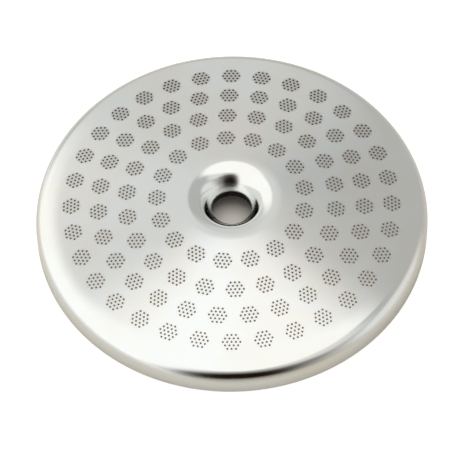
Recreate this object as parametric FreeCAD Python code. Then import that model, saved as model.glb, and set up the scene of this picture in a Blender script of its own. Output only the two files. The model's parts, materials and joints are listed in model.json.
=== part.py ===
"""Espresso shower screen: one pressed stainless dish with a screw well and clusters of openings.

The dish lies face up on the edge of its skirt. The origin is the centre of that edge's plane,
+Z runs up the axis of the screw hole and -Y is the front. Lengths are in millimetres and
angles in degrees. The sheet's section is drawn once as points (r, z) and spun into the dish.
"""
import FreeCAD
import Part
import math
import os

# Sheet and outline
sheet_thickness = 0.8
outer_radius = 28.5
skirt_height = 2.1
shoulder_radius = 2.4
edge_break = 0.12

# Face, which falls away from the well to the shoulder as a shallow cone
face_slope = 7.4

# Well that takes the head of the fixing screw
well_lip_radius = 3.1
well_mouth_radius = 6.6
well_wall_slope = 51.5
screw_hole_radius = 2.9
screw_hole_land = 0.1

# Perforation: hexagonal clusters of micro-holes on four rings, with one cluster of each ring on a
# shared ray. Each cluster is cut as one window, the outline of its rows of holes.
ring_radii = (10.75, 15.2, 19.25, 23.25)
ring_clusters = (17, 22, 27, 32)
shared_ray_angle = 154.8
hole_diameter = 0.32
hole_pitch = 0.61
longest_row_holes = 5

UP = FreeCAD.Vector(0, 0, 1)
FULL_TURN = 360
SKIRT_TILT = 90
HEXAGON_SIDES = 6


def sine(angle):
    """Sine of an angle in degrees."""
    return math.sin(math.radians(angle))


def cosine(angle):
    """Cosine of an angle in degrees."""
    return math.cos(math.radians(angle))


def slope_rise(run, slope):
    """Height gained over a run on a slope in degrees."""
    return run * math.tan(math.radians(slope))


def on_arc(centre, radius, tilt):
    """Point (r, z) on an arc where its outward normal leans by a tilt from +Z towards +r."""
    return (centre[0] + radius * sine(tilt), centre[1] + radius * cosine(tilt))


def section_vector(point):
    """Place a section point (r, z) in the XZ plane."""
    return FreeCAD.Vector(point[0], 0, point[1])


def section_lines(points):
    """Straight edges that join a run of section points."""
    ends = [section_vector(point) for point in points]
    return [Part.LineSegment(start, end).toShape() for start, end in zip(ends, ends[1:])]


def section_arc(centre, radius, start_tilt, end_tilt):
    """Round stretch of the section between two tilts of its normal."""
    tilts = (start_tilt, (start_tilt + end_tilt) / 2, end_tilt)
    return Part.Arc(*[section_vector(on_arc(centre, radius, tilt)) for tilt in tilts]).toShape()


class DishSection:
    """Section of the sheet, whose skins are parallel and share the centres of their arcs."""

    def __init__(self):
        self.shoulder_centre = (outer_radius - shoulder_radius, skirt_height)
        self.face_edge = on_arc(self.shoulder_centre, shoulder_radius, face_slope)
        lip_edge_radius = well_mouth_radius + well_lip_radius * sine(face_slope)
        lip_edge = (lip_edge_radius, self.face_height(lip_edge_radius))
        self.lip_centre = (well_mouth_radius, lip_edge[1] - well_lip_radius * cosine(face_slope))

    def face_height(self, radius):
        """Height of the face's upper skin at a radius."""
        return self.face_edge[1] + slope_rise(self.face_edge[0] - radius, face_slope)

    def well_height(self, radius, depth):
        """Height of the well's conical wall at a radius, on the skin a depth under the upper one."""
        top = on_arc(self.lip_centre, well_lip_radius - depth, -well_wall_slope)
        return top[1] - slope_rise(top[0] - radius, well_wall_slope)

    def skin(self, depth):
        """Shoulder, face and well lip of the skin a depth under the upper one."""
        shoulder = (self.shoulder_centre, shoulder_radius - depth)
        lip = (self.lip_centre, well_lip_radius - depth)
        face = section_lines([on_arc(*shoulder, face_slope), on_arc(*lip, face_slope)])
        return [
            section_arc(*shoulder, SKIRT_TILT, face_slope),
            *face,
            section_arc(*lip, face_slope, -well_wall_slope),
        ]

    def well_foot(self):
        """Well's conical wall, the land round the screw hole, the hole's wall and the wall's back."""
        land_radius = screw_hole_radius + screw_hole_land
        land_height = self.well_height(land_radius, 0)
        return section_lines([
            on_arc(self.lip_centre, well_lip_radius, -well_wall_slope),
            (land_radius, land_height),
            (screw_hole_radius, land_height),
            (screw_hole_radius, self.well_height(screw_hole_radius, sheet_thickness)),
            on_arc(self.lip_centre, well_lip_radius - sheet_thickness, -well_wall_slope),
        ])

    def skirt_foot(self):
        """Inside of the skirt, its edge with both corners broken, and its outside."""
        inner_radius = outer_radius - sheet_thickness
        return section_lines([
            (inner_radius, skirt_height),
            (inner_radius, edge_break),
            (inner_radius + edge_break, 0),
            (outer_radius - edge_break, 0),
            (outer_radius, edge_break),
            (outer_radius, skirt_height),
        ])

    def face(self):
        """The whole section as one flat face."""
        edges = self.skin(0) + self.well_foot() + self.skin(sheet_thickness) + self.skirt_foot()
        return Part.Face(Part.Wire(Part.__sortEdges__(edges)))


def cluster_cutter():
    """Hexagonal prism round one cluster's rows, centred on the origin with rows along Y."""
    side_angle = FULL_TURN / HEXAGON_SIDES
    half_row = (longest_row_holes - 1) / 2 * hole_pitch
    corner_radius = half_row + hole_diameter / 2 / cosine(side_angle / 2)
    reach = 1.5 * sheet_thickness
    corners = []
    for side in range(HEXAGON_SIDES + 1):
        angle = (side + 0.5) * side_angle
        corners.append(FreeCAD.Vector(corner_radius * cosine(angle), corner_radius * sine(angle), -reach))
    return Part.Face(Part.makePolygon(corners)).extrude(2 * reach * UP)


def ring_cutters(section, radius, count):
    """Cutters of every cluster on one ring, square to the face."""
    lean = FreeCAD.Rotation(FreeCAD.Vector(0, 1, 0), face_slope)
    seat = FreeCAD.Placement(FreeCAD.Vector(radius, 0, section.face_height(radius)), lean)
    cutters = []
    for index in range(count):
        ray_angle = shared_ray_angle + FULL_TURN * index / count
        turn = FreeCAD.Placement(FreeCAD.Vector(), FreeCAD.Rotation(UP, ray_angle))
        cutter = cluster_cutter()
        cutter.Placement = turn.multiply(seat)
        cutters.append(cutter)
    return cutters


def build_shower_screen():
    """Spin the sheet's section into the dish and cut the clusters through its face."""
    section = DishSection()
    dish = section.face().revolve(FreeCAD.Vector(), UP, FULL_TURN)
    cutters = []
    for radius, count in zip(ring_radii, ring_clusters):
        cutters.extend(ring_cutters(section, radius, count))
    return dish.cut(Part.makeCompound(cutters))


os.makedirs("parts", exist_ok=True)
build_shower_screen().exportStep("parts/shower_screen.step")
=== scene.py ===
"""Espresso shower screen: one satin stainless dish, pierced by clusters of round micro-holes.

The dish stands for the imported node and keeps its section: the same skins, rounds, well and skirt.
It adds what the solid leaves out. Each hexagonal window of the frame is nineteen round holes here,
and the face has its slight crown. The face and the well's wall run softly into the rounds, the
well's wall is slightly hollow, and the screw hole's upper edge is worn round.

Sizes are in millimetres, as on a drawing, and MM turns them into the scene's metres. The dish
stands on the edge of its skirt, +Z is up and -Y is the front.
"""
import json
import logging
import math
from collections.abc import Callable
from dataclasses import dataclass
from enum import Enum

import bmesh
import bpy
from bmesh.types import BMEdge, BMesh, BMFace, BMVert
from bpy.types import Material, Node, NodeSocket, NodeTree, Object
from mathutils import Matrix, Vector


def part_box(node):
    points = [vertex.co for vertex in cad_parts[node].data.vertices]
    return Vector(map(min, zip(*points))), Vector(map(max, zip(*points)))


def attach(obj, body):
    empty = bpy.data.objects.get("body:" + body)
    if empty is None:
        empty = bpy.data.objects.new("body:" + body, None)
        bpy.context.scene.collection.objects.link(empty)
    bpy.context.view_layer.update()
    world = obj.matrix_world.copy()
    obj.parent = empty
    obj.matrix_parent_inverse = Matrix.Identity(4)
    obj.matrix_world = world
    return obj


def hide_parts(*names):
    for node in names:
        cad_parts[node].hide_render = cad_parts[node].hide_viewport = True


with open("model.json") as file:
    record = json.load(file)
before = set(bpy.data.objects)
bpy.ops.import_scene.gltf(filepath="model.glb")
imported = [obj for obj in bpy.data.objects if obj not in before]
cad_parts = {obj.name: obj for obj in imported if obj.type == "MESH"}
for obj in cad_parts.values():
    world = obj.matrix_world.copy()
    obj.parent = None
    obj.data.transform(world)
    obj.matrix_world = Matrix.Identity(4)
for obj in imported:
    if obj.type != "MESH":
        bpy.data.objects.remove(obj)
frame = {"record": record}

MM = 0.001
NODE = "shower_screen"
PIECE = "shower_screen_dish"
BODY = "root"
# Mask of the painted shade at the edges of the micro-holes
TINT_LAYER = "hole_shade"
ORIGIN = Vector((0, 0, 0))
UP = Vector((0, 0, 1))
WHITE = (1.0, 1.0, 1.0, 1.0)

# Factors that lay a place flat
IN_PLAN = (1.0, 1.0, 0.0)

# Distance under which two points are one
WELD_GAP = 0.002

# Height of a normal under which a face of the pierced zone is a wall
WALL_TILT = 0.5

# Slope of a flat arch at its ends, as a multiple of its rise over its width
ARCH_END_SLOPE = 4

# Angles in degrees, the second one from a hexagon's corner to the middle of its side
QUARTER_TURN = 90.0
HEXAGON_HALF_SIDE = 30.0

HEXAGON_SIDES = 6

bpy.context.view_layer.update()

log = logging.getLogger("shower_screen")

Point = tuple[float, float]
Span = tuple[float, float]
Colour = tuple[float, float, float]
Value = NodeSocket | float | tuple[float, ...]


class Skin(Enum):
    """Two sides of the sheet."""

    UPPER = "upper"
    LOWER = "lower"


class Surface(Enum):
    """Material slots of the dish, in order."""

    SATIN = 0
    PIERCED = 1
    # Near-black wall of the screw hole, which is painted shade
    SHEARED = 2


@dataclass(frozen=True)
class Section:
    """Section of the pressed sheet, as points (r, z) on two parallel skins.

    Attributes:
        outer_radius: Outside of the skirt.
        screw_hole_radius: Hole in the middle of the well.
        sheet_thickness: Thickness of the sheet.
        skirt_height: Straight part of the skirt.
        shoulder_radius: Outside of the round between face and skirt.
        edge_break: Chamfer on both corners of the skirt's edge.
        face_slope: Fall of the face from the well to the shoulder, in degrees.
        crown: Rise of the middle of the face over a straight cone.
        lip_radius: Outside of the round at the well's mouth.
        mouth_radius: Radius at which the well's lip is highest.
        well_slope: Slope of the well's conical wall, in degrees.
        wall_sag: Depth of the well's wall under a straight cone, half-way down.
        hole_round: Radius of the worn upper edge of the screw hole.
        blend: Length over which the face and the well's wall run into a round.
        blend_steps: Steps of a round that each blend takes the place of.
        wall_steps: Steps down the well's wall.
        edge_steps: Steps along the screw hole's worn edge.
    """

    outer_radius: float
    screw_hole_radius: float
    sheet_thickness: float = 0.8
    skirt_height: float = 2.1
    shoulder_radius: float = 2.4
    edge_break: float = 0.12
    face_slope: float = 7.4
    crown: float = 0.09
    lip_radius: float = 3.1
    mouth_radius: float = 6.6
    well_slope: float = 51.5
    wall_sag: float = 0.07
    hole_round: float = 0.3
    blend: float = 0.55
    blend_steps: int = 2
    wall_steps: int = 5
    edge_steps: int = 6

    @property
    def lean(self) -> float:
        """Slope of the face in radians."""
        return math.radians(self.face_slope)

    @property
    def shoulder_centre(self) -> Point:
        """Centre of the shoulder's rounds."""
        return (self.outer_radius - self.shoulder_radius, self.skirt_height)

    @property
    def face_edge(self) -> Point:
        """Where the upper skin's face meets the shoulder."""
        return on_arc(self.shoulder_centre, self.shoulder_radius, self.face_slope)

    @property
    def lip_edge_radius(self) -> float:
        """Radius at which the upper skin's face meets the lip."""
        return self.mouth_radius + self.lip_radius * math.sin(self.lean)

    @property
    def lip_centre(self) -> Point:
        """Centre of the lip's rounds."""
        height = self.face_height(self.lip_edge_radius)
        return (self.mouth_radius, height - self.lip_radius * math.cos(self.lean))

    @property
    def crown_lean(self) -> float:
        """Degrees that the crown adds to the face's slope at the shoulder and takes off at the lip."""
        width = self.face_edge[0] - self.lip_edge_radius
        return math.degrees(math.atan(ARCH_END_SLOPE * self.crown / width))

    def face_height(self, radius: float) -> float:
        """Height of the face's upper skin.

        Args:
            radius: Radius of the place.

        Returns:
            The height over the skirt's edge.
        """
        run = self.face_edge[0] - radius
        share = run / (self.face_edge[0] - self.lip_edge_radius)
        return self.face_edge[1] + run * math.tan(self.lean) + self.crown * flat_arch(share)

    def face_point(self, radius: float, skin: Skin) -> Point:
        """Point of the face on a skin, square under a point of the upper one.

        Args:
            radius: Radius of the upper skin's point.
            skin: The skin.

        Returns:
            The point (r, z).
        """
        depth = self.depth(skin)
        drop = depth * math.cos(self.lean)
        return (radius - depth * math.sin(self.lean), self.face_height(radius) - drop)

    def depth(self, skin: Skin) -> float:
        """Depth of a skin under the upper one."""
        return 0.0 if skin is Skin.UPPER else self.sheet_thickness

    def well_height(self, radius: float, skin: Skin) -> float:
        """Height of the well's conical wall at a radius, on a skin."""
        top = on_arc(self.lip_centre, self.lip_radius - self.depth(skin), -self.well_slope)
        return top[1] - (top[0] - radius) * math.tan(math.radians(self.well_slope))

    def shoulder_arc(self, skin: Skin, steps: int) -> list[Point]:
        """Shoulder's round on a skin, from the face to the skirt."""
        radius = self.shoulder_radius - self.depth(skin)
        return arc(self.shoulder_centre, radius, self.face_slope + self.crown_lean, QUARTER_TURN, steps)

    def lip_arc(self, skin: Skin, steps: int) -> list[Point]:
        """Lip's round on a skin, from the face to the well's wall."""
        radius = self.lip_radius - self.depth(skin)
        return arc(self.lip_centre, radius, self.face_slope - self.crown_lean, -self.well_slope, steps)

    def rim(self, start_radius: float, arc_steps: int) -> list[Point]:
        """Outer part of the section, from the upper skin round the skirt to the lower skin.

        Args:
            start_radius: Radius on the face's upper skin at which it starts.
            arc_steps: Steps along each round.

        Returns:
            The points, which end square under the start.
        """
        inner_radius = self.outer_radius - self.sheet_thickness
        foot = [
            (self.outer_radius, self.edge_break),
            (self.outer_radius - self.edge_break, 0.0),
            (inner_radius + self.edge_break, 0.0),
            (inner_radius, self.edge_break),
        ]
        start = self.face_point(start_radius, Skin.UPPER)
        end = self.face_point(start_radius, Skin.LOWER)
        outside = self.shoulder_arc(Skin.UPPER, arc_steps)[self.blend_steps:]
        inside = self.shoulder_arc(Skin.LOWER, arc_steps)
        return [start, *outside, *foot, *reversed(inside), end]

    def hole_edge(self) -> list[Point]:
        """Round from the well's wall into the screw hole.

        Returns:
            The points, from the wall down.
        """
        slope = math.radians(self.well_slope)
        centre_radius = self.screw_hole_radius + self.hole_round
        top = self.well_height(centre_radius - self.hole_round * math.sin(slope), Skin.UPPER)
        centre = (centre_radius, top - self.hole_round * math.cos(slope))
        return arc(centre, self.hole_round, -self.well_slope, -QUARTER_TURN, self.edge_steps)

    def wall(self, top_radius: float, foot_radius: float) -> list[Point]:
        """Well's upper wall, which is slightly hollow.

        Args:
            top_radius: Radius at which it starts.
            foot_radius: Radius at which it meets the screw hole's worn edge.

        Returns:
            The points, without the last one, which the worn edge has.
        """
        points = []
        for step in range(self.wall_steps):
            share = step / self.wall_steps
            radius = top_radius + (foot_radius - top_radius) * share
            sag = self.wall_sag * flat_arch(share)
            points.append((radius, self.well_height(radius, Skin.UPPER) - sag))
        return points

    def well(self, start_radius: float, arc_steps: int) -> list[Point]:
        """Inner part of the section, from the upper skin through the well to the lower skin.

        Args:
            start_radius: Radius on the face's upper skin at which it starts.
            arc_steps: Steps along each round.

        Returns:
            The points, which end square under the start.
        """
        bottom = (self.screw_hole_radius, self.well_height(self.screw_hole_radius, Skin.LOWER))
        foot = [*self.hole_edge(), bottom]
        start = self.face_point(start_radius, Skin.UPPER)
        end = self.face_point(start_radius, Skin.LOWER)
        mouth = self.face_point(self.lip_edge_radius + self.blend, Skin.UPPER)
        above = self.lip_arc(Skin.UPPER, arc_steps)
        throat_radius = above[-1][0] - self.blend * math.cos(math.radians(self.well_slope))
        lip = [mouth, *above[self.blend_steps:-self.blend_steps]]
        wall = self.wall(throat_radius, foot[0][0])
        below = self.lip_arc(Skin.LOWER, arc_steps)
        return [start, *lip, *wall, *foot, *reversed(below), end]


@dataclass(frozen=True)
class Ring:
    """One ring of clusters.

    Attributes:
        radius: Radius of the clusters' centres, in plan.
        clusters: Clusters on the ring.
        cell_steps: Steps along each arc of one cluster's cell.
    """

    radius: float
    clusters: int
    cell_steps: int = 6

    @property
    def cell_angle(self) -> float:
        """Angle of one cluster's cell, in radians."""
        return math.tau / self.clusters

    @property
    def steps(self) -> int:
        """Steps round the whole ring."""
        return self.clusters * self.cell_steps


@dataclass(frozen=True)
class Perforation:
    """Clusters of micro-holes on four rings.

    Attributes:
        rings: The rings, from the well outwards.
        shared_ray_angle: Ray on which every ring has a cluster, in degrees from +X.
        hole_diameter: Diameter of one micro-hole.
        hole_pitch: Distance between neighbouring holes of a row.
        longest_row_holes: Holes in the middle row of a cluster.
        hole_steps: Sides of one micro-hole.
        tint_reach: Width of the painted shade outside a cluster's holes.
        tint_side_cuts: Cuts across each side of the outline at which a cluster's painted shade ends.
        cell_reach: Half of a cell's length along the radius.
        cell_side_cuts: Cuts across each radial side of a cell.
    """

    rings: tuple[Ring, ...] = (
        Ring(radius=10.75, clusters=17, cell_steps=8),
        Ring(radius=15.2, clusters=22),
        Ring(radius=19.25, clusters=27),
        Ring(radius=23.25, clusters=32),
    )
    shared_ray_angle: float = 154.8
    hole_diameter: float = 0.32
    hole_pitch: float = 0.61
    longest_row_holes: int = 5
    hole_steps: int = 12
    tint_reach: float = 0.22
    tint_side_cuts: int = 3
    cell_reach: float = 1.75
    cell_side_cuts: int = 3

    @property
    def inner_radius(self) -> float:
        """Inner edge of the pierced zone."""
        return self.rings[0].radius - self.cell_reach

    @property
    def outer_radius(self) -> float:
        """Outer edge of the pierced zone."""
        return self.rings[-1].radius + self.cell_reach

    @property
    def tint_radius(self) -> float:
        """Half of the longest width of a cluster's tinted hexagon.

        Returns:
            The distance of its corners from the cluster's centre.
        """
        half_row = (self.longest_row_holes - 1) / 2 * self.hole_pitch
        margin = self.hole_diameter / 2 + self.tint_reach
        return half_row + margin / math.cos(math.radians(HEXAGON_HALF_SIDE))

    def hole_centres(self, ring: Ring, lean: float) -> list[Point]:
        """Centres of one cluster's holes in plan, with its rows square to the radius.

        Args:
            ring: The cluster's ring; the cluster lies on +X.
            lean: Slope of the face, in radians.

        Returns:
            Points (x, y).
        """
        row_step = self.hole_pitch * math.cos(math.radians(HEXAGON_HALF_SIDE)) * math.cos(lean)
        half_rows = self.longest_row_holes // 2
        centres = []
        for row in range(-half_rows, half_rows + 1):
            holes = self.longest_row_holes - abs(row)
            for hole in range(holes):
                offset = (hole - (holes - 1) / 2) * self.hole_pitch
                centres.append((ring.radius + row * row_step, offset))
        return centres


def flat_arch(share: float) -> float:
    """Height of a flat arch that is one high, at a share of its width."""
    return ARCH_END_SLOPE * share * (1 - share)


def on_arc(centre: Point, radius: float, tilt: float) -> Point:
    """Point on an arc where its outward normal leans by a tilt from +Z towards +r, in degrees."""
    angle = math.radians(tilt)
    return (centre[0] + radius * math.sin(angle), centre[1] + radius * math.cos(angle))


def arc(centre: Point, radius: float, first: float, last: float, steps: int) -> list[Point]:
    """Points of an arc between two tilts of its normal.

    Args:
        centre: Centre (r, z).
        radius: Radius.
        first: Tilt at the first point, in degrees.
        last: Tilt at the last point, in degrees.
        steps: Steps between the two.

    Returns:
        Points (r, z), both ends included.
    """
    return [on_arc(centre, radius, first + (last - first) * step / steps) for step in range(steps + 1)]


def plan_radius(place: Vector) -> float:
    """Distance of a place from the axis, in millimetres."""
    return math.hypot(place.x, place.y) / MM


def heading(azimuth: float, elevation: float) -> Vector:
    """Direction from the dish.

    Args:
        azimuth: Degrees from the front towards +X.
        elevation: Degrees of height.

    Returns:
        A vector one long.
    """
    turn = math.radians(azimuth)
    height = math.radians(elevation)
    flat = math.cos(height)
    return Vector((math.sin(turn) * flat, -math.cos(turn) * flat, math.sin(height)))


def absorb(target: BMesh, part: BMesh) -> None:
    """Move a part's geometry into another mesh and free the part.

    Args:
        target: Mesh that takes the geometry.
        part: Mesh that gives it.
    """
    carrier = bpy.data.meshes.new("carrier")
    part.to_mesh(carrier)
    part.free()
    target.from_mesh(carrier)
    bpy.data.meshes.remove(carrier)


def feed(tree: NodeTree, socket: NodeSocket, value: Value) -> None:
    """Give a socket what it reads.

    Args:
        tree: The nodes.
        socket: Socket that reads.
        value: Socket to link it to, or a plain value.
    """
    if isinstance(value, NodeSocket):
        tree.links.new(value, socket)
    else:
        socket.default_value = value


def combine(tree: NodeTree, operation: str, first: Value, second: Value) -> NodeSocket:
    """Combine two numbers.

    Args:
        tree: The nodes.
        operation: Operation of the Math node.
        first: First number.
        second: Second number.

    Returns:
        The result.
    """
    node = tree.nodes.new("ShaderNodeMath")
    node.operation = operation
    feed(tree, node.inputs[0], first)
    feed(tree, node.inputs[1], second)
    return node.outputs[0]


def mix(tree: NodeTree, factor: Value, under: Value, over: Value, blend_type: str = "MIX") -> NodeSocket:
    """Lay a colour over another.

    Args:
        tree: The nodes.
        factor: Share of the colour on top.
        under: Colour below.
        over: Colour on top.
        blend_type: How the two meet.

    Returns:
        The result.
    """
    node = tree.nodes.new("ShaderNodeMix")
    node.data_type = "RGBA"
    node.blend_type = blend_type
    feed(tree, node.inputs["Factor"], factor)
    feed(tree, node.inputs["A"], under)
    feed(tree, node.inputs["B"], over)
    return node.outputs["Result"]


def ramp(
    tree: NodeTree, value: NodeSocket, span: Span, result: Span = (0.0, 1.0), soft: bool = True
) -> NodeSocket:
    """Turn a value's run over a span into a run between two results.

    Args:
        tree: The nodes.
        value: The value.
        span: Values at which the run starts and ends.
        result: Results there and beyond.
        soft: Whether the run starts and ends gently.

    Returns:
        The result.
    """
    node = tree.nodes.new("ShaderNodeMapRange")
    node.interpolation_type = "SMOOTHSTEP" if soft else "LINEAR"
    for name, limit in zip(("From Min", "From Max", "To Min", "To Max"), (*span, *result)):
        node.inputs[name].default_value = limit
    tree.links.new(value, node.inputs["Value"])
    return node.outputs["Result"]


def plan_distance(tree: NodeTree) -> NodeSocket:
    """Distance of the shaded point from the axis, on the object's own coordinates.

    Args:
        tree: The nodes.

    Returns:
        The distance, in metres.
    """
    place = tree.nodes.new("ShaderNodeTexCoord").outputs["Object"]
    flat = tree.nodes.new("ShaderNodeVectorMath")
    flat.operation = "MULTIPLY"
    flat.inputs[1].default_value = IN_PLAN
    tree.links.new(place, flat.inputs[0])
    away = tree.nodes.new("ShaderNodeVectorMath")
    away.operation = "LENGTH"
    tree.links.new(flat.outputs["Vector"], away.inputs[0])
    return away.outputs["Value"]


class SheetGrain:
    """Shader group for the sheet: clouds, fine grain, uneven polish and painted shade round the
    micro-holes, stronger towards the back.

    Attributes:
        tree: The group's nodes.
        place: Coordinates that its patterns read.
        BACK_SHADE_SPAN: Places along Y at which the painted shade starts and ends to grow towards the
            back.
        BACK_SHADE_SHARES: Share of the painted shade at each of them.
        DULL_SPAN: Radii at which the well's wall starts to be dull and is dullest.
        CLOUD_SPAN: Values of the noise at which the clouds start and are thickest.
        CLOUD_SCALE: Scale of the clouds' noise.
        CLOUD_DETAIL: Its detail.
        GRAIN_SCALE: Scale of the fine grain's noise.
        POLISH_SCALE: Scale of the uneven polish's noise.
        FINE_DETAIL: Detail of these two.
        NOISE_PAIR_MIDDLE: Middle of their sum.
    """

    # Painted shade: the micro-holes and the face round them darken more towards the back
    BACK_SHADE_SPAN = (-24.0, 22.0)
    BACK_SHADE_SHARES = (0.12, 1.0)
    DULL_SPAN = (3.75, 3.0)
    CLOUD_SPAN = (0.38, 0.66)
    CLOUD_SCALE = 95.0
    CLOUD_DETAIL = 3.0
    GRAIN_SCALE = 5200.0
    POLISH_SCALE = 260.0
    FINE_DETAIL = 2.0
    NOISE_PAIR_MIDDLE = 1.0

    def __init__(self) -> None:
        """Build the group."""
        self.tree = bpy.data.node_groups.new("sheet_grain", "ShaderNodeTree")
        self.place = self.tree.nodes.new("ShaderNodeTexCoord").outputs["Object"]
        self.add_sockets()
        given = self.tree.nodes.new("NodeGroupInput").outputs
        result = self.tree.nodes.new("NodeGroupOutput").inputs
        grain = self.noise(self.GRAIN_SCALE, self.FINE_DETAIL)
        clouds = combine(self.tree, "MULTIPLY", self.clouds(), given["Cloud Amount"])
        feed(self.tree, result["Colour"], mix(self.tree, clouds, given["Colour"], given["Cloud Colour"]))
        uneven = combine(self.tree, "MULTIPLY", self.unevenness(grain), given["Roughness Spread"])
        dull = combine(self.tree, "MULTIPLY", self.well_depth(), given["Well Roughness"])
        base = combine(self.tree, "ADD", given["Roughness"], dull)
        feed(self.tree, result["Roughness"], combine(self.tree, "ADD", base, uneven))
        # Painted shade round the micro-holes, stronger towards the back
        feed(self.tree, result["Painted Shade"], self.painted_back_shade())
        feed(self.tree, result["Height"], grain)

    def add_sockets(self) -> None:
        """Name what goes in and what comes out."""
        face = self.tree.interface
        face.new_socket("Colour", in_out="INPUT", socket_type="NodeSocketColor")
        face.new_socket("Cloud Colour", in_out="INPUT", socket_type="NodeSocketColor")
        for name in ("Cloud Amount", "Roughness", "Roughness Spread", "Well Roughness"):
            face.new_socket(name, in_out="INPUT", socket_type="NodeSocketFloat")
        face.new_socket("Colour", in_out="OUTPUT", socket_type="NodeSocketColor")
        for name in ("Roughness", "Height", "Painted Shade"):
            face.new_socket(name, in_out="OUTPUT", socket_type="NodeSocketFloat")

    def noise(self, scale: float, detail: float) -> NodeSocket:
        """Noise on the piece's own coordinates.

        Args:
            scale: Scale of the Noise Texture node.
            detail: Its detail.

        Returns:
            The noise.
        """
        node = self.tree.nodes.new("ShaderNodeTexNoise")
        node.inputs["Scale"].default_value = scale
        node.inputs["Detail"].default_value = detail
        self.tree.links.new(self.place, node.inputs["Vector"])
        return node.outputs["Fac"]

    def clouds(self) -> NodeSocket:
        """Mask of the metal's faint clouds."""
        return ramp(self.tree, self.noise(self.CLOUD_SCALE, self.CLOUD_DETAIL), self.CLOUD_SPAN)

    def unevenness(self, grain: NodeSocket) -> NodeSocket:
        """Grain and patches of polish together, round zero.

        Args:
            grain: Noise of the grain.

        Returns:
            The unevenness.
        """
        polish = self.noise(self.POLISH_SCALE, self.FINE_DETAIL)
        both = combine(self.tree, "ADD", polish, grain)
        return combine(self.tree, "SUBTRACT", both, self.NOISE_PAIR_MIDDLE)

    def painted_back_shade(self) -> NodeSocket:
        """Mask of the painted shade in and round the micro-holes, stronger towards the back of the face.

        Returns:
            The mask.
        """
        parts = self.tree.nodes.new("ShaderNodeSeparateXYZ")
        self.tree.links.new(self.place, parts.inputs[0])
        span = (self.BACK_SHADE_SPAN[0] * MM, self.BACK_SHADE_SPAN[1] * MM)
        return ramp(self.tree, parts.outputs["Y"], span, self.BACK_SHADE_SHARES, soft=False)

    def well_depth(self) -> NodeSocket:
        """Mask of the well's drawn wall, which grows towards the screw hole."""
        span = (self.DULL_SPAN[0] * MM, self.DULL_SPAN[1] * MM)
        return ramp(self.tree, plan_distance(self.tree), span)


@dataclass(frozen=True)
class SteelFinish:
    """Finish of one surface of the sheet.

    Attributes:
        name: Name of the material.
        colour: Colour of the metal.
        cloud_colour: Colour of its clouds.
        cloud_amount: Share of that colour where the clouds are thickest.
        roughness: Roughness.
        roughness_spread: How far the roughness strays.
        grain_strength: Strength of the grain's bump.
        tint: Colour by which the painted shade in and round the micro-holes multiplies the metal.
        metallic: How far the surface is bare metal.
        well_roughness: Roughness that the well's wall has on top, at the screw hole.
        grain_depth: Depth of the grain, in millimetres.
    """

    name: str
    colour: Colour
    cloud_colour: Colour
    cloud_amount: float
    roughness: float
    roughness_spread: float
    grain_strength: float
    tint: Colour
    metallic: float = 1.0
    well_roughness: float = 0.0
    grain_depth: float = 0.01

    def material(self, grain: SheetGrain) -> Material:
        """Build the material.

        Args:
            grain: The shared group.

        Returns:
            The material.
        """
        material = bpy.data.materials.new(self.name)
        material.use_nodes = True
        tree = material.node_tree
        shader = tree.nodes["Principled BSDF"]
        shader.inputs["Metallic"].default_value = self.metallic
        group = self.placed(tree, grain)
        bump = tree.nodes.new("ShaderNodeBump")
        bump.inputs["Strength"].default_value = self.grain_strength
        bump.inputs["Distance"].default_value = self.grain_depth * MM
        tree.links.new(self.tinted(tree, group), shader.inputs["Base Color"])
        tree.links.new(group.outputs["Roughness"], shader.inputs["Roughness"])
        tree.links.new(group.outputs["Height"], bump.inputs["Height"])
        tree.links.new(bump.outputs["Normal"], shader.inputs["Normal"])
        return material

    def placed(self, tree: NodeTree, grain: SheetGrain) -> Node:
        """Place the shared group with this finish's own values.

        Args:
            tree: The material's nodes.
            grain: The shared group.

        Returns:
            The group's node.
        """
        group = tree.nodes.new("ShaderNodeGroup")
        group.node_tree = grain.tree
        values = {
            "Colour": (*self.colour, 1.0),
            "Cloud Colour": (*self.cloud_colour, 1.0),
            "Cloud Amount": self.cloud_amount,
            "Roughness": self.roughness,
            "Roughness Spread": self.roughness_spread,
            "Well Roughness": self.well_roughness,
        }
        for name, value in values.items():
            group.inputs[name].default_value = value
        return group

    def tinted(self, tree: NodeTree, group: Node) -> NodeSocket:
        """Lay the painted shade over the metal in and between the micro-holes.

        Args:
            tree: The material's nodes.
            group: Node of the shared group in it.

        Returns:
            The tinted colour.
        """
        # Painted shade: darkens the micro-holes' walls and the face between them, more towards the back
        near_holes = tree.nodes.new("ShaderNodeAttribute")
        near_holes.attribute_name = TINT_LAYER
        amount = combine(tree, "MULTIPLY", near_holes.outputs["Fac"], group.outputs["Painted Shade"])
        return mix(tree, amount, group.outputs["Colour"], (*self.tint, 1.0), blend_type="MULTIPLY")


SATIN_STEEL = SteelFinish(
    name="satin_steel",
    colour=(0.715, 0.733, 0.715),
    cloud_colour=(0.712, 0.704, 0.655),
    cloud_amount=0.95,
    roughness=0.12,
    roughness_spread=0.06,
    grain_strength=0.25,
    # Painted shade on the face between the micro-holes
    tint=(0.73, 0.71, 0.695),
    well_roughness=0.22,
)
PIERCED_STEEL = SteelFinish(
    name="pierced_steel",
    colour=(0.94, 0.84, 0.74),
    cloud_colour=(0.84, 0.73, 0.62),
    cloud_amount=0.7,
    roughness=0.45,
    roughness_spread=0.1,
    grain_strength=0.5,
    # Painted shade that makes the micro-holes' walls near black
    tint=(0.13, 0.115, 0.105),
    metallic=0.2,
)
# Near-black colour of the screw hole's wall: painted shade where the hole looks dark
PAINTED_BORE_SHADE = SteelFinish(
    name="painted_bore_shade",
    colour=(0.006, 0.005, 0.004),
    cloud_colour=(0.014, 0.011, 0.009),
    cloud_amount=0.6,
    roughness=0.5,
    roughness_spread=0.12,
    grain_strength=0.6,
    tint=(0.7, 0.68, 0.65),
)
FINISHES = {
    Surface.SATIN: SATIN_STEEL,
    Surface.PIERCED: PIERCED_STEEL,
    Surface.SHEARED: PAINTED_BORE_SHADE,
}


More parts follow.
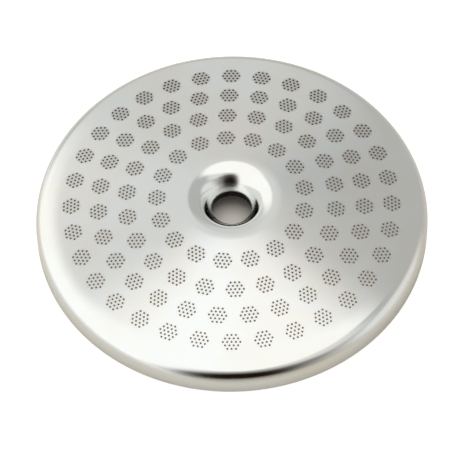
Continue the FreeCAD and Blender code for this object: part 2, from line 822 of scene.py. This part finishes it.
@dataclass
class Dish:
    """The pressed and pierced dish.

    Attributes:
        section: Section of the sheet.
        perforation: Pattern of the micro-holes.
        arc_steps: Steps along each round of the section.
        crease_angle: Angle between faces above which an edge stays sharp, in degrees.
    """

    section: Section
    perforation: Perforation
    arc_steps: int = 20
    crease_angle: float = 40.0

    def build(self) -> Object:
        """Make the dish as one closed mesh.

        Returns:
            The object, at the origin.
        """
        mesh = bmesh.new()
        mesh.verts.layers.float.new(TINT_LAYER)
        for ring in self.perforation.rings:
            absorb(mesh, self.pierced_ring(ring))
        self.join_rings(mesh)
        self.drape(mesh)
        self.thicken(mesh)
        absorb(mesh, self.spun_part(self.section.well, self.perforation.rings[0]))
        absorb(mesh, self.spun_part(self.section.rim, self.perforation.rings[-1]))
        bmesh.ops.remove_doubles(mesh, verts=mesh.verts, dist=WELD_GAP * MM)
        turn = Matrix.Rotation(math.radians(self.perforation.shared_ray_angle), 3, UP)
        bmesh.ops.rotate(mesh, verts=mesh.verts, cent=ORIGIN, matrix=turn)
        bmesh.ops.recalc_face_normals(mesh, faces=mesh.faces)
        self.mark_bore(mesh)
        return self.finished(mesh)

    def dress(self, dish: Object) -> None:
        """Give the dish its finishes, which share one group.

        Args:
            dish: The built dish.
        """
        grain = SheetGrain()
        for surface in Surface:
            dish.data.materials.append(FINISHES[surface].material(grain))

    def sector(self, ring: Ring) -> BMesh:
        """Outline of one cluster's cell of the face, flat, on +X.

        Args:
            ring: The cluster's ring.

        Returns:
            A sector of the ring, as edges only.
        """
        part = bmesh.new()
        reach = self.perforation.cell_reach
        half = ring.cell_angle / 2
        ends = []
        for radius in (ring.radius - reach, ring.radius + reach):
            start = part.verts.new(Vector((math.cos(half), -math.sin(half), 0)) * radius * MM)
            swept = bmesh.ops.spin(
                part,
                geom=[start],
                cent=ORIGIN,
                axis=UP,
                angle=ring.cell_angle,
                steps=ring.cell_steps,
            )
            ends.append((start, swept["geom_last"][0]))
        sides = [part.edges.new(pair) for pair in zip(*ends)]
        bmesh.ops.subdivide_edges(part, edges=sides, cuts=self.perforation.cell_side_cuts)
        return part

    def cell(self, ring: Ring) -> BMesh:
        """One cluster's cell of the face, flat, on +X, pierced by the holes.

        Args:
            ring: The cluster's ring.

        Returns:
            The cell, with the painted shade's mask at the edges of its holes.
        """
        part = self.sector(ring)
        tint = part.verts.layers.float.new(TINT_LAYER)
        outlines = self.tinted_hexagon(part, ring)
        bmesh.ops.triangle_fill(part, edges=part.edges, use_beauty=True, normal=UP)
        for x, y in self.perforation.hole_centres(ring, self.section.lean):
            hole = bmesh.ops.create_circle(
                part,
                cap_ends=False,
                segments=self.perforation.hole_steps,
                radius=self.perforation.hole_diameter / 2 * MM,
                matrix=Matrix.Translation((x * MM, y * MM, 0)),
            )
            for vert in hole["verts"]:
                vert[tint] = 1.0
                outlines.extend(edge for edge in vert.link_edges if edge not in outlines)
        bmesh.ops.triangle_fill(part, edges=outlines, use_beauty=True, normal=UP)
        return part

    def tinted_hexagon(self, part: BMesh, ring: Ring) -> list[BMEdge]:
        """Add the outline round a cluster at which its tint ends.

        Args:
            part: Mesh of the cell.
            ring: The cluster's ring.

        Returns:
            The outline's edges.
        """
        turn = Matrix.Rotation(math.radians(HEXAGON_HALF_SIDE), 4, UP)
        lean = Matrix.Diagonal((math.cos(self.section.lean), 1, 1, 1))
        place = Matrix.Translation((ring.radius * MM, 0, 0))
        made = bmesh.ops.create_circle(
            part,
            cap_ends=False,
            segments=HEXAGON_SIDES,
            radius=self.perforation.tint_radius * MM,
            matrix=place @ lean @ turn,
        )
        edges = []
        for vert in made["verts"]:
            edges.extend(edge for edge in vert.link_edges if edge not in edges)
        cut = bmesh.ops.subdivide_edges(part, edges=edges, cuts=self.perforation.tint_side_cuts)
        return [item for item in cut["geom"] if isinstance(item, BMEdge)]

    def pierced_ring(self, ring: Ring) -> BMesh:
        """All the cells of one ring, flat and joined.

        Args:
            ring: The ring.

        Returns:
            The cells.
        """
        part = self.cell(ring)
        everything = part.verts[:] + part.edges[:] + part.faces[:]
        bmesh.ops.spin(
            part,
            geom=everything,
            cent=ORIGIN,
            axis=UP,
            angle=math.tau - ring.cell_angle,
            steps=ring.clusters - 1,
            use_duplicate=True,
        )
        bmesh.ops.remove_doubles(part, verts=part.verts, dist=WELD_GAP * MM)
        return part

    def join_rings(self, mesh: BMesh) -> None:
        """Bridge the plain strips between neighbouring rings.

        Args:
            mesh: The flat rings.
        """
        rings = self.perforation.rings
        reach = self.perforation.cell_reach
        for inner, outer in zip(rings, rings[1:]):
            loops = self.circle_edges(mesh, inner.radius + reach)
            loops += self.circle_edges(mesh, outer.radius - reach)
            bmesh.ops.bridge_loops(mesh, edges=loops)

    def circle_edges(self, mesh: BMesh, radius: float) -> list[BMEdge]:
        """Open edges that lie on a circle round the axis.

        Args:
            mesh: Mesh that has them.
            radius: Radius of the circle.

        Returns:
            The edges.
        """
        found = []
        for edge in mesh.edges:
            gaps = [abs(plan_radius(vert.co) - radius) for vert in edge.verts]
            if edge.is_boundary and max(gaps) < WELD_GAP:
                found.append(edge)
        return found

    def drape(self, mesh: BMesh) -> None:
        """Lift the flat pierced zone onto the upper skin of the face."""
        for vert in mesh.verts:
            vert.co.z = self.section.face_height(plan_radius(vert.co)) * MM

    def thicken(self, mesh: BMesh) -> None:
        """Give the pierced zone its lower skin and its holes their walls, square to the face.

        Args:
            mesh: Upper skin of the pierced zone.
        """
        grown = bmesh.ops.extrude_face_region(mesh, geom=mesh.faces[:], use_keep_orig=True)
        for vert in (item for item in grown["geom"] if isinstance(item, BMVert)):
            outward = Vector((vert.co.x, vert.co.y, 0)).normalized() * math.sin(self.section.lean)
            vert.co -= (outward + UP * math.cos(self.section.lean)) * self.section.sheet_thickness * MM
        mesh.normal_update()
        walls = [face for face in mesh.faces if abs(face.normal.z) < WALL_TILT]
        ends = [face for face in walls if self.closes_zone(face)]
        for face in walls:
            face.material_index = Surface.PIERCED.value
        bmesh.ops.delete(mesh, geom=ends, context="FACES")

    def closes_zone(self, face: BMFace) -> bool:
        """Tell whether a wall closes the pierced zone at its inner or outer edge.

        Args:
            face: The wall.

        Returns:
            True if it does.
        """
        radius = plan_radius(face.calc_center_median())
        edges = (self.perforation.inner_radius, self.perforation.outer_radius)
        nearest = min(abs(radius - edge) for edge in edges)
        return nearest < self.section.sheet_thickness / 2

    def spun_part(self, outline: Callable[[float, int], list[Point]], ring: Ring) -> BMesh:
        """Spin one end of the section, with its steps in line with a ring's.

        Args:
            outline: Method of the section that gives the points.
            ring: Ring that the part meets.

        Returns:
            The part, open where it meets the pierced zone.
        """
        zone = self.perforation
        start = zone.inner_radius if ring is zone.rings[0] else zone.outer_radius
        part = bmesh.new()
        verts = [part.verts.new((r * MM, 0, z * MM)) for r, z in outline(start, self.arc_steps)]
        edges = [part.edges.new(pair) for pair in zip(verts, verts[1:])]
        bmesh.ops.spin(
            part,
            geom=verts + edges,
            cent=ORIGIN,
            axis=UP,
            angle=math.tau,
            steps=ring.steps,
            use_merge=True,
        )
        return part

    def mark_bore(self, mesh: BMesh) -> None:
        """Give the screw hole's wall its near-black finish, which is painted shade.

        Args:
            mesh: The whole dish.
        """
        for face in mesh.faces:
            if plan_radius(face.calc_center_median()) < self.section.screw_hole_radius:
                face.material_index = Surface.SHEARED.value

    def finished(self, mesh: BMesh) -> Object:
        """Turn the mesh into a smooth-shaded object and report how closed it is.

        Args:
            mesh: The whole dish.

        Returns:
            The object.
        """
        loose = sum(1 for edge in mesh.edges if not edge.is_manifold)
        triangles = sum(len(face.verts) - 2 for face in mesh.faces)
        volume = mesh.calc_volume() / MM**3
        log.info("dish: %d triangles, %d open edges, %.1f mm3", triangles, loose, volume)
        data = bpy.data.meshes.new(PIECE)
        for face in mesh.faces:
            face.smooth = True
        mesh.to_mesh(data)
        mesh.free()
        data.set_sharp_from_angle(angle=math.radians(self.crease_angle))
        dish = bpy.data.objects.new(PIECE, data)
        bpy.context.scene.collection.objects.link(dish)
        return dish


@dataclass(frozen=True)
class SkyPatch:
    """Soft-edged round patch of the studio's surroundings, seen in the metal.

    Attributes:
        azimuth: Direction of its middle, in degrees from the front towards +X.
        elevation: Height of its middle, in degrees.
        core: Half-angle of the part at full strength, in degrees.
        edge: Half-angle at which it ends, in degrees.
        level: Brightness.
        strength: Share of the level that replaces what is behind.
        hue: Colour by which the level is multiplied.
    """

    azimuth: float
    elevation: float
    core: float
    edge: float
    level: float
    strength: float = 1.0
    hue: Colour = (1.0, 1.0, 1.0)

    @property
    def light(self) -> tuple[float, ...]:
        """Colour and brightness of the patch, as four numbers."""
        return (*(self.level * part for part in self.hue), 1.0)

    @property
    def span(self) -> Span:
        """Cosines of its edge and its core."""
        return (math.cos(math.radians(self.edge)), math.cos(math.radians(self.core)))


@dataclass(frozen=True)
class Surroundings:
    """World that the camera sees as white and the metal as a soft studio.

    Attributes:
        wall_level: Brightness of the plain surroundings.
        patches: Lighter and darker patches, each laid over those before it.
    """

    wall_level: float = 0.60
    patches: tuple[SkyPatch, ...] = (
        SkyPatch(azimuth=-168, elevation=30, core=14, edge=32, level=0.82),
        SkyPatch(azimuth=-88, elevation=29, core=44, edge=66, level=1.34),
        SkyPatch(azimuth=80, elevation=3, core=14, edge=36, level=1.02, strength=0.9),
        SkyPatch(azimuth=-171, elevation=62, core=8, edge=22, level=0.88),
        SkyPatch(azimuth=48, elevation=48, core=8, edge=26, level=0.95),
        SkyPatch(azimuth=-12, elevation=79.6, core=28, edge=38, level=1.34),
        SkyPatch(
            azimuth=24, elevation=14, core=6, edge=24, level=0.20, strength=0.75, hue=(1.05, 0.98, 0.92)
        ),
        SkyPatch(azimuth=0, elevation=10, core=12, edge=34, level=0.01, hue=(1.2, 0.5, 0.2)),
    )

    def build(self) -> None:
        """Make the world."""
        world = bpy.data.worlds.new("studio")
        world.use_nodes = True
        bpy.context.scene.world = world
        tree = world.node_tree
        camera_ray = tree.nodes.new("ShaderNodeLightPath").outputs["Is Camera Ray"]
        background = tree.nodes["Background"]
        background.inputs["Strength"].default_value = 1.0
        tree.links.new(mix(tree, camera_ray, self.sky(tree), WHITE), background.inputs["Color"])

    def sky(self, tree: NodeTree) -> NodeSocket:
        """Lay the patches over the plain surroundings.

        Args:
            tree: The world's nodes.

        Returns:
            The light from each direction.
        """
        direction = tree.nodes.new("ShaderNodeTexCoord").outputs["Generated"]
        light = (self.wall_level, self.wall_level, self.wall_level, 1.0)
        for patch in self.patches:
            aim = tree.nodes.new("ShaderNodeVectorMath")
            aim.operation = "DOT_PRODUCT"
            aim.inputs[1].default_value = heading(patch.azimuth, patch.elevation)
            tree.links.new(direction, aim.inputs[0])
            mask = ramp(tree, aim.outputs["Value"], patch.span, (0.0, patch.strength))
            light = mix(tree, mask, light, patch.light)
        return light


@dataclass(frozen=True)
class Softbox:
    """Round area lamp over the dish, which lights the floor and isn't seen in the metal.

    Attributes:
        azimuth: Direction of its middle, in degrees from the front towards +X.
        elevation: Height of its middle, in degrees.
        distance: Distance from the dish, in metres.
        half_angle: Half of the angle that it fills, seen from the dish, in degrees.
        level: Brightness of its face.
    """

    azimuth: float = 178.0
    elevation: float = 86.0
    distance: float = 0.8
    half_angle: float = 24.0
    level: float = 3.9

    def build(self) -> None:
        """Make the lamp."""
        radius = self.distance * math.tan(math.radians(self.half_angle))
        area = math.pi * radius**2
        data = bpy.data.lights.new("softbox", "AREA")
        data.shape = "DISK"
        data.size = 2 * radius
        # Power of an even face of that brightness
        data.energy = self.level * math.pi * area
        lamp = bpy.data.objects.new("softbox", data)
        lamp.visible_glossy = False
        toward = heading(self.azimuth, self.elevation)
        lamp.location = toward * self.distance
        lamp.rotation_mode = "QUATERNION"
        lamp.rotation_quaternion = toward.to_track_quat("Z", "Y")
        bpy.context.scene.collection.objects.link(lamp)


@dataclass(frozen=True)
class Floor:
    """Round pale floor, which the camera sees as white outside the dish.

    Attributes:
        radius: Radius, in metres.
        sides: Sides of its outline.
        drop: Gap under the dish, in millimetres.
        colour: Colour.
        roughness: Roughness of its surface.
        coat: Strength of its clear coat.
        glow: Light that only the camera sees.
        glow_start: Radius at which the glow begins, in millimetres.
        glow_full: Radius at which it is full, in millimetres.
    """

    radius: float = 3.0
    sides: int = 96
    drop: float = 0.01
    colour: Colour = (0.47, 0.44, 0.395)
    roughness: float = 0.15
    coat: float = 1.0
    glow: float = 0.6
    glow_start: float = 22.0
    glow_full: float = 28.4

    def build(self) -> None:
        """Make the floor."""
        part = bmesh.new()
        place = Matrix.Translation((0, 0, -self.drop * MM))
        bmesh.ops.create_circle(part, cap_ends=True, segments=self.sides, radius=self.radius, matrix=place)
        data = bpy.data.meshes.new("floor")
        part.to_mesh(data)
        part.free()
        data.materials.append(self.material())
        floor = bpy.data.objects.new("floor", data)
        bpy.context.scene.collection.objects.link(floor)

    def material(self) -> Material:
        """Pale finish that keeps the dish's shadow.

        Returns:
            The material.
        """
        material = bpy.data.materials.new("floor_white")
        material.use_nodes = True
        tree = material.node_tree
        shader = tree.nodes["Principled BSDF"]
        shader.inputs["Base Color"].default_value = (*self.colour, 1.0)
        shader.inputs["Roughness"].default_value = self.roughness
        shader.inputs["Coat Weight"].default_value = self.coat
        shader.inputs["Emission Color"].default_value = WHITE
        span = (self.glow_start * MM, self.glow_full * MM)
        around = ramp(tree, plan_distance(tree), span, (0.0, self.glow))
        camera_ray = tree.nodes.new("ShaderNodeLightPath").outputs["Is Camera Ray"]
        glow = combine(tree, "MULTIPLY", camera_ray, around)
        tree.links.new(glow, shader.inputs["Emission Strength"])
        return material


@dataclass(frozen=True)
class PhotoCamera:
    """Camera at the photograph's place.

    Attributes:
        aim: Point on the camera's axis, in millimetres.
        distance: Distance from that point, in millimetres.
        azimuth: Heading of the camera's axis, in degrees from +Y towards +X.
        elevation: Height of the camera over the horizon, in degrees.
        roll: Turn about the camera's axis, in degrees.
        lens: Focal length, in millimetres.
        sensor: Width of the sensor, in millimetres.
        nearest: Distance at which the view starts, in metres.
        farthest: Distance at which it ends, in metres.
    """

    aim: tuple[float, float, float] = (-1.09, -3.49, 4.94)
    distance: float = 400.2
    azimuth: float = 1.28
    elevation: float = 56.24
    roll: float = -1.70
    lens: float = 222.1
    sensor: float = 36.0
    nearest: float = 0.01
    farthest: float = 20.0

    def build(self) -> None:
        """Make the camera and look through it."""
        data = bpy.data.cameras.new("camera")
        data.lens = self.lens
        data.sensor_width = self.sensor
        data.clip_start = self.nearest
        data.clip_end = self.farthest
        camera = bpy.data.objects.new("camera", data)
        bpy.context.scene.collection.objects.link(camera)
        turn = Matrix.Rotation(math.radians(-self.azimuth), 4, "Z")
        pitch = Matrix.Rotation(math.radians(QUARTER_TURN - self.elevation), 4, "X")
        roll = Matrix.Rotation(math.radians(self.roll), 4, "Z")
        back = Matrix.Translation((0, 0, self.distance * MM))
        aim = Matrix.Translation(Vector(self.aim) * MM)
        camera.matrix_world = aim @ turn @ pitch @ roll @ back
        bpy.context.scene.camera = camera


def screw_hole_radius() -> float:
    """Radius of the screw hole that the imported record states, in millimetres."""
    bores = [mount for mount in frame["record"]["mounts"] if mount["name"] == "screw_hole"]
    return bores[0]["dims"]["r_mm"]


def main() -> None:
    """Build the dish, dress it, light it and report."""
    logging.basicConfig(level=logging.INFO, format="%(name)s: %(message)s")
    bpy.context.scene.view_settings.view_transform = "Standard"
    outer_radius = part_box(NODE)[1].x / MM
    screen = Dish(Section(outer_radius, screw_hole_radius()), Perforation())
    dish = screen.build()
    screen.dress(dish)
    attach(dish, BODY)
    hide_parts(NODE)
    log.info("%s stands for %s, with %d finishes", dish.name, NODE, len(dish.data.materials))
    PhotoCamera().build()
    Floor().build()
    Surroundings().build()
    Softbox().build()


if __name__ == "__main__":
    main()
